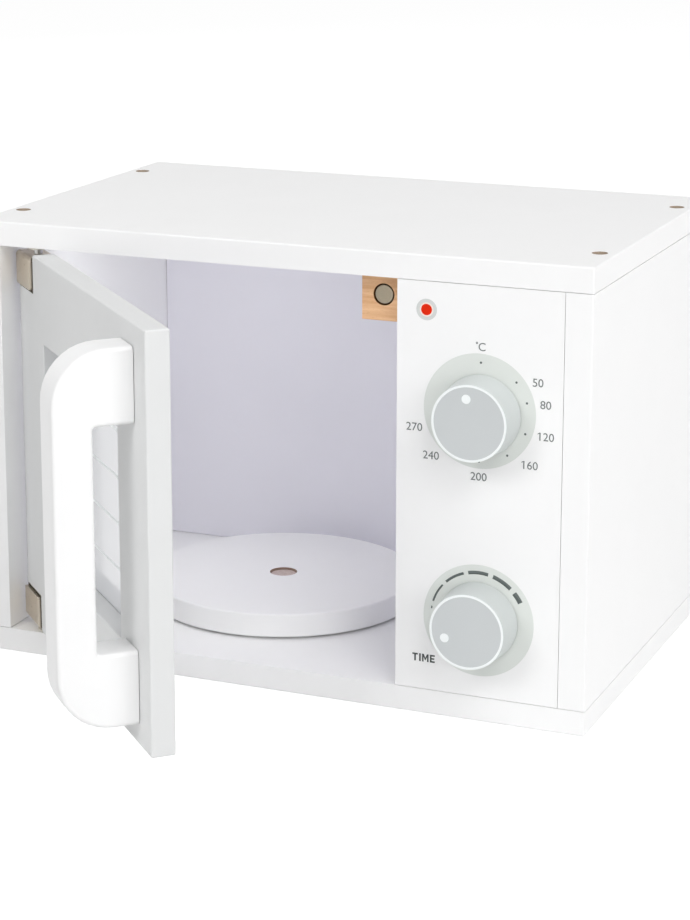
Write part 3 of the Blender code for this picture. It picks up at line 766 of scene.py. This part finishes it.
def in_recess(middle, normal):
    """Whether a face of the turntable belongs to its bored middle."""
    away = math.hypot(middle.x - disc_centre.x, middle.y - disc_centre.y)
    on_outside = (middle.z > disc_high.z - near_surface
                  or middle.z < disc_low.z + near_surface)
    return away < recess_reach and not (abs(normal.z) > flat_facing and on_outside)


recess_wood = fibreboard("bored_raw_board", "#b3988a", "#8c7264")
dress("turntable", "turntable_disc", "turntable", "turntable_paint", white_lacquer, recess_wood,
      in_recess)
dress("turntable_pin", "turntable_pin_head", "cabinet", "bare_beech", pin_beech)


def moulded_nylon(name, colour, shade):
    """Moulded natural nylon: milky and waxy, with a fine matt skin."""
    finish, shader = principled(name, IOR=1.53, Subsurface_Weight=0.15)
    shader.inputs["Subsurface Radius"].default_value = (1.2 * MM, 1.0 * MM, 0.8 * MM)
    shader.inputs["Subsurface Scale"].default_value = 1.0
    place = add(finish, "ShaderNodeTexCoord").outputs["Object"]
    grit = add(finish, "ShaderNodeTexNoise", {"Vector": place, "Scale": 1 / (0.4 * MM)})
    tint = add(finish, "ShaderNodeMix",
               {0: grit.outputs[0], 6: linear(colour), 7: linear(shade)}, data_type="RGBA")
    link(finish, tint.outputs[2], shader, "Base Color")
    rough = add(finish, "ShaderNodeMapRange",
                {"Value": grit.outputs[0], "To Min": 0.4, "To Max": 0.52})
    link(finish, rough.outputs[0], shader, "Roughness")
    bump = add(finish, "ShaderNodeBump",
               {"Height": grit.outputs[0], "Strength": 0.08, "Distance": 0.03 * MM})
    link(finish, bump.outputs[0], shader, "Normal")
    return finish


natural_nylon = moulded_nylon("natural_nylon", "#e4e1d8", "#dcd9cf")
dress("turntable_glide", "turntable_glide_ring", "cabinet", "nylon", natural_nylon)

# Magnetic catch. A planed beech block is glued into the oven's top corner, with a nickel plated
# magnet in a hole. The hole's wall is coloured dark brown, which is painted shade for the narrow
# dark gap round the magnet. A steel disc screwed into the door meets it.

block_beech = beech("planed_beech", "#f1c69a", "#e1ae81", "#c78e60", X_GRAIN)
# Dark brown for the magnet's hole: painted shade for the gap round the magnet, not the wood's
# colour.
magnet_gap_shade = fibreboard("magnet_hole_painted_shade", "#8a5c30", "#5c3b1c")
magnet_low, magnet_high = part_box("catch_magnet")
magnet_centre = (magnet_low + magnet_high) / 2
magnet_hole_reach = 5.6 * MM
block_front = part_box("magnet_block")[0].y


def in_magnet_hole(middle, normal):
    """Whether a face of the block belongs to the magnet's hole."""
    away = math.hypot(middle.x - magnet_centre.x, middle.z - magnet_centre.z)
    return away < magnet_hole_reach and middle.y > block_front + near_surface


def plating(name, colour, stain, roughness):
    """Nickel plate over steel: warm, with cloudy stains and the fine scratches of tumbling."""
    finish, shader = principled(name, Metallic=1.0)
    place = add(finish, "ShaderNodeTexCoord").outputs["Object"]
    clouds = add(finish, "ShaderNodeTexNoise",
                 {"Vector": place, "Scale": 1 / (2.6 * MM), "Detail": 5.0, "Roughness": 0.6})
    tint = add(finish, "ShaderNodeMix",
               {0: clouds.outputs[0], 6: linear(colour), 7: linear(stain)}, data_type="RGBA")
    link(finish, tint.outputs[2], shader, "Base Color")
    rough = add(finish, "ShaderNodeMapRange",
                {"Value": clouds.outputs[0], "To Min": roughness - 0.03, "To Max": roughness + 0.04})
    link(finish, rough.outputs[0], shader, "Roughness")
    scratch_place = add(finish, "ShaderNodeMapping",
                        {"Vector": place, "Rotation": (0.3, 0.6, 0.9),
                         "Scale": (1 / (0.12 * MM), 1 / (3 * MM), 1 / (0.3 * MM))})
    scratches = add(finish, "ShaderNodeTexNoise",
                    {"Vector": scratch_place.outputs[0], "Scale": 1.0, "Detail": 2.0})
    bump = add(finish, "ShaderNodeBump",
               {"Height": scratches.outputs[0], "Strength": 0.03, "Distance": 0.02 * MM})
    link(finish, bump.outputs[0], shader, "Normal")
    return finish


magnet_nickel = plating("dull_nickel_plate", "#bcb09a", "#aca18d", 0.38)
# The faces of the magnet's hole take the dark brown painted shade.
dress("magnet_block", "catch_block", "cabinet", "bare_beech", block_beech, magnet_gap_shade,
      in_magnet_hole)
dress("catch_magnet", "catch_magnet_disc", "cabinet", "magnet_nickel", magnet_nickel)
dress("strike_plate", "catch_strike_disc", "door", "zinc_steel", zinc_plate)

# Door board. One light grey lacquered board with a rectangular window cut through it. Its edges are
# eased by hand, so light catches along them. The pockets that are routed for the hinge clips are
# coloured a dark raw board, which is painted shade for the shadowed gap along each clip.

# At rest the door stands open by the hinge's lower limit, so a frame turned as far lies along it.
hinge = next(joint for joint in frame["joints"] if joint["name"] == "door_hinge")
door_turn = math.radians(hinge["range_deg"][0])
door_foot = Vector(hinge["pos_m"])
door_foot.z = 0
door_place = Matrix.Translation(door_foot) @ Matrix.Rotation(door_turn, 4, "Z")


def door_box(node):
    """A door node's lowest and highest corners in the door's frame, x from hinge to free edge."""
    to_door = door_place.inverted()
    corners = [to_door @ vertex.co for vertex in frame["nodes"][node].data.vertices]
    return (Vector([min(corner[axis] for corner in corners) for axis in range(3)]),
            Vector([max(corner[axis] for corner in corners) for axis in range(3)]))


door_lacquer = lacquer("sprayed_light_grey_lacquer", "#e0e1e1", "#dcdddd", 0.42)
# Dark board colour for the clip pockets: painted shade for the gap beside each clip.
clip_pocket_shade = fibreboard("clip_pocket_painted_shade", "#6e675c", "#4a443b")
clip_boxes = [door_box(f"hinge_clip_{end}") for end in ("upper", "lower")]
door_low, door_high = door_box("door_panel")
pocket_reach = 2 * MM


def in_clip_pocket(middle, normal):
    """Whether a face of the door belongs to the pocket for one of the hinge clips."""
    place = door_place.inverted() @ middle
    return any(low.z - pocket_reach < place.z < high.z + pocket_reach
               and door_low.x - near_surface < place.x < high.x + pocket_reach
               and door_low.y + near_surface < place.y < door_high.y - near_surface
               for low, high in clip_boxes)


dress("door_panel", "door_board", "door", "door_paint", door_lacquer, clip_pocket_shade, in_clip_pocket)

# Window. A sheet of glossy pale acrylic is let into a rebate behind the opening, and four thin
# white lines are printed across it, as on the screen of an oven's window.


def acrylic(name, colour, shade):
    """Cast acrylic tinted pale grey: deep gloss, with fine wiping marks."""
    finish, shader = principled(name, IOR=1.49)
    shader.inputs["Coat Weight"].default_value = 0.6
    shader.inputs["Coat Roughness"].default_value = 0.03
    place = add(finish, "ShaderNodeTexCoord").outputs["Object"]
    clouds = add(finish, "ShaderNodeTexNoise", {"Vector": place, "Scale": 1 / (60 * MM)})
    tint = add(finish, "ShaderNodeMix",
               {0: clouds.outputs[0], 6: linear(colour), 7: linear(shade)}, data_type="RGBA")
    link(finish, tint.outputs[2], shader, "Base Color")
    wipes_place = add(finish, "ShaderNodeMapping",
                      {"Vector": place, "Rotation": (0, 0.5, 0),
                       "Scale": (1 / (18 * MM), 1 / (18 * MM), 1 / (1.2 * MM))})
    wipes = add(finish, "ShaderNodeTexNoise",
                {"Vector": wipes_place.outputs[0], "Scale": 1.0, "Detail": 3.0})
    rough = add(finish, "ShaderNodeMapRange",
                {"Value": wipes.outputs[0], "To Min": 0.06, "To Max": 0.16})
    link(finish, rough.outputs[0], shader, "Roughness")
    return finish


def line_tree():
    """Repeat a thin printed line up the pane, in the door's own frame."""
    tree = bpy.data.node_groups.new("pane_lines", "GeometryNodeTree")
    tree_socket(tree, "Base", "NodeSocketGeometry")
    tree_socket(tree, "Count", "NodeSocketInt")
    for name in ("Pitch", "Length", "Width", "Depth"):
        tree_socket(tree, name, "NodeSocketFloat")
    tree_socket(tree, "Ink", "NodeSocketMaterial")
    tree_socket(tree, "Lines", "NodeSocketGeometry", "OUTPUT")
    given = add(tree, "NodeGroupInput")
    step = add(tree, "ShaderNodeCombineXYZ", {"Z": given.outputs["Pitch"]})
    row = add(tree, "GeometryNodeMeshLine",
              {"Count": given.outputs["Count"], "Offset": step.outputs[0]})
    size = add(tree, "ShaderNodeCombineXYZ",
               {"X": given.outputs["Length"], "Y": given.outputs["Depth"],
                "Z": given.outputs["Width"]})
    line = add(tree, "GeometryNodeMeshCube", {"Size": size.outputs[0]})
    lines = add(tree, "GeometryNodeInstanceOnPoints",
                {"Points": row.outputs[0], "Instance": line.outputs["Mesh"]})
    real = add(tree, "GeometryNodeRealizeInstances", {0: lines.outputs[0]})
    inked = add(tree, "GeometryNodeSetMaterial",
                {"Geometry": real.outputs[0], "Material": given.outputs["Ink"]})
    add(tree, "NodeGroupOutput", {"Lines": inked.outputs[0]})
    return tree


pane_acrylic = acrylic("cast_pale_acrylic", "#e8e9ed", "#e4e6ea")
dress("window_pane", "window_sheet", "door", "window_acrylic", pane_acrylic)
pane_low, pane_high = door_box("window_pane")
line_count = 4
line_pitch = 22 * MM
line_width = 1.1 * MM
line_length = 118 * MM
pane_lines = grown(bpy.data.meshes.new("base"), line_tree(), Count=line_count, Pitch=line_pitch,
                   Length=line_length, Width=line_width, Depth=ink_depth, Ink=white_ink)
first_line = Vector(((pane_low.x + pane_high.x) / 2, pane_low.y - ink_depth / 2,
                     (pane_low.z + pane_high.z) / 2 - (line_count - 1) * line_pitch / 2))
pane_lines.transform(door_place @ Matrix.Translation(first_line))
as_piece("window_lines", joined(pane_lines), "door", "window_acrylic", white_ink)

# Handle. An arch sawn from one board and rounded over along its edges, then sprayed white like the
# cabinet. Two countersunk screws hold it from behind the door.

dress("door_handle", "door_handle_arch", "door", "white_paint", white_lacquer)
door_inward = (door_place.to_3x3() @ Vector((0, 1, 0))).normalized()
head_rim = 0.15 * MM


def door_screws(name, nodes, head_height, shank_radius, cross_reach, cross_depth):
    """Countersunk screws in the door's inner face, in place of the plain ones."""
    low, high = door_box(nodes[0])
    head_radius = (high.x - low.x) / 2
    length = high.y - low.y
    profile = [(0, -length), (shank_radius, -length), (shank_radius, -head_height),
               (head_radius, -head_rim), (head_radius, 0), (0, 0)]
    pattern = screw_pattern(name + "_pattern", profile, 0, cross_reach, cross_depth)
    seats = []
    for node in nodes:
        low, high = door_box(node)
        seats.append(door_place @ Vector(((low.x + high.x) / 2, high.y, (low.z + high.z) / 2)))
    made = as_piece(name, grown(points(seats, [door_inward] * len(seats)), fasteners,
                                Pattern=pattern, Finish=zinc_plate), "door", "zinc_steel")
    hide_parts(*nodes)
    bpy.data.objects.remove(pattern)


door_screws("handle_screws", ["handle_screw_upper", "handle_screw_lower"], head_height=2.4 * MM,
            shank_radius=1.9 * MM, cross_reach=1.9 * MM, cross_depth=1.5 * MM)
door_screws("strike_screw_head", ["strike_screw"], head_height=1.6 * MM, shank_radius=1.2 * MM,
            cross_reach=1.3 * MM, cross_depth=1.0 * MM)

# Hinges. A clip of nickel plated sheet is bent over each hinge corner of the door and pressed into
# a shallow pocket. A steel pin stands in it and turns in a nylon bush in the board above or below.

clip_nickel = plating("satin_nickel_plate", "#e4d9c8", "#ddd2c1", 0.28)
for end in ("upper", "lower"):
    dress(f"hinge_clip_{end}", f"hinge_clip_{end}_bent", "door", "nickel_plate", clip_nickel)
    dress(f"hinge_pin_{end}", f"hinge_pin_{end}_turned", "door", "zinc_steel", zinc_plate)
    dress(f"hinge_bush_{end}", f"hinge_bush_{end}_moulded", "cabinet", "nylon", natural_nylon)

# Studio. The floor and the surround look white but give little light. Soft boxes stand at the left
# for the door, high in front, at the right, above and behind, and a small strip lights the oven
# from under its ceiling, where the door hides it when shut.

bpy.context.scene.view_settings.view_transform = "Standard"


def seen_directly(finish):
    """A factor that is 1 where a camera, mirror or glass ray meets the surface."""
    path = add(finish, "ShaderNodeLightPath")
    seen = add(finish, "ShaderNodeMath",
               {0: path.outputs["Is Camera Ray"], 1: path.outputs["Is Glossy Ray"]},
               operation="MAXIMUM")
    seen = add(finish, "ShaderNodeMath",
               {0: seen.outputs[0], 1: path.outputs["Is Transmission Ray"]}, operation="MAXIMUM")
    return seen.outputs[0]


floor_paper = bpy.data.materials.new("white_studio_floor")
floor_paper.use_nodes = True
floor_paper.node_tree.nodes.clear()
# The object meets plain pale paper. The camera sees a nearly white glow, and a faint shadow on it.
paper = add(floor_paper, "ShaderNodeBsdfDiffuse", {"Color": linear("#e8e8e8")})
faint = add(floor_paper, "ShaderNodeBsdfDiffuse", {"Color": linear("#8e8e8e")})
glow = add(floor_paper, "ShaderNodeEmission", {"Color": linear("#ffffff"), "Strength": 0.92})
shown = add(floor_paper, "ShaderNodeAddShader", {0: faint.outputs[0], 1: glow.outputs[0]})
floor_mix = add(floor_paper, "ShaderNodeMixShader",
                {0: seen_directly(floor_paper), 1: paper.outputs[0], 2: shown.outputs[0]})
add(floor_paper, "ShaderNodeOutputMaterial", {"Surface": floor_mix.outputs[0]})
floor_reach = 12.0
floor_mesh = bpy.data.meshes.new("studio_floor")
floor_mesh.from_pydata([(-floor_reach, -floor_reach, 0), (floor_reach, -floor_reach, 0),
                        (floor_reach, floor_reach, 0), (-floor_reach, floor_reach, 0)], [],
                       [(0, 1, 2, 3)])
floor_mesh.materials.append(floor_paper)
floor = bpy.data.objects.new("studio_floor", floor_mesh)
bpy.context.scene.collection.objects.link(floor)

surround_level = 0.15
surround = bpy.data.worlds.new("studio_surround")
surround.use_nodes = True
surround.node_tree.nodes.clear()
strength = add(surround, "ShaderNodeMix",
               {0: seen_directly(surround), 2: surround_level, 3: 1.0}, data_type="FLOAT")
sky = add(surround, "ShaderNodeBackground",
          {"Color": linear("#ffffff"), "Strength": strength.outputs[0]})
add(surround, "ShaderNodeOutputWorld", {"Surface": sky.outputs[0]})
bpy.context.scene.world = surround

cabinet_middle = Vector((0, 0, 110 * MM))
oven_middle = Vector((-68 * MM, 48 * MM, 80 * MM))
studio_reach = 2.6


def soft_box(name, aim, azimuth, elevation, away, width, height, level):
    """A soft box, placed from its aim by angles in degrees and a distance in metres.

    Its level is the share of full white that it gives to what faces it at its aim.
    """
    lamp = bpy.data.lights.new(name, "AREA")
    lamp.shape = "RECTANGLE"
    lamp.size = width
    lamp.size_y = height
    lamp.energy = level * (math.pi * away) ** 2
    turn, rise = math.radians(azimuth), math.radians(elevation)
    toward = Vector((math.sin(turn) * math.cos(rise), -math.cos(turn) * math.cos(rise),
                     math.sin(rise)))
    made = bpy.data.objects.new(name, lamp)
    made.location = aim + away * toward
    made.rotation_euler = toward.to_track_quat("Z", "Y").to_euler()
    made.visible_camera = False
    made.visible_glossy = False
    bpy.context.scene.collection.objects.link(made)


for name, azimuth, elevation, width, height, level in (
        ("door_box", -27, 32, 1.0, 1.0, 0.3), ("high_box", 20, 42, 2.0, 1.0, 0.12),
        ("high_right_box", 45, 45, 1.2, 1.0, 0.23), ("right_box", 42, 10, 1.0, 1.0, 0.11),
        ("side_box", 70, 15, 1.2, 1.2, 0.22), ("top_box", 0, 88, 1.6, 1.6, 0.24),
        ("back_left_box", -125, 12, 1.2, 1.2, 0.22), ("back_right_box", 135, 12, 1.2, 1.2, 0.2)):
    soft_box(name, cabinet_middle, azimuth, elevation, studio_reach, width, height, level)
soft_box("oven_strip", oven_middle, azimuth=0, elevation=46, away=0.155, width=0.11, height=0.025,
         level=0.18)

# Camera. It stands right of the front and a little above, and its shift sets the cabinet in the
# frame as the photograph has it. Its focal length and its shift are in pixels of that frame.

camera_place = (480.0 * MM, -1169.7 * MM, 441.1 * MM)
camera_right = math.radians(23.46)
camera_down = math.radians(12.85)
camera_roll = math.radians(-0.17)
frame_height = 920
focal_pixels = 2571.2
axis_left = 45
axis_up = 120
lens = bpy.data.cameras.new("camera")
lens.sensor_fit = "VERTICAL"
lens.sensor_height = 36
lens.lens = focal_pixels / frame_height * lens.sensor_height
lens.shift_x = axis_left / frame_height
lens.shift_y = -axis_up / frame_height
lens.clip_start = 0.05
camera = bpy.data.objects.new("camera", lens)
camera.matrix_world = (Matrix.Translation(camera_place) @ Matrix.Rotation(camera_right, 4, "Z")
                       @ Matrix.Rotation(math.pi / 2 - camera_down, 4, "X")
                       @ Matrix.Rotation(camera_roll, 4, "Z"))
bpy.context.scene.collection.objects.link(camera)
bpy.context.scene.camera = camera

# The oven is a white hollow, so light is followed through more bounces than usual.

bpy.context.scene.cycles.diffuse_bounces = 12
bpy.context.scene.cycles.max_bounces = 24
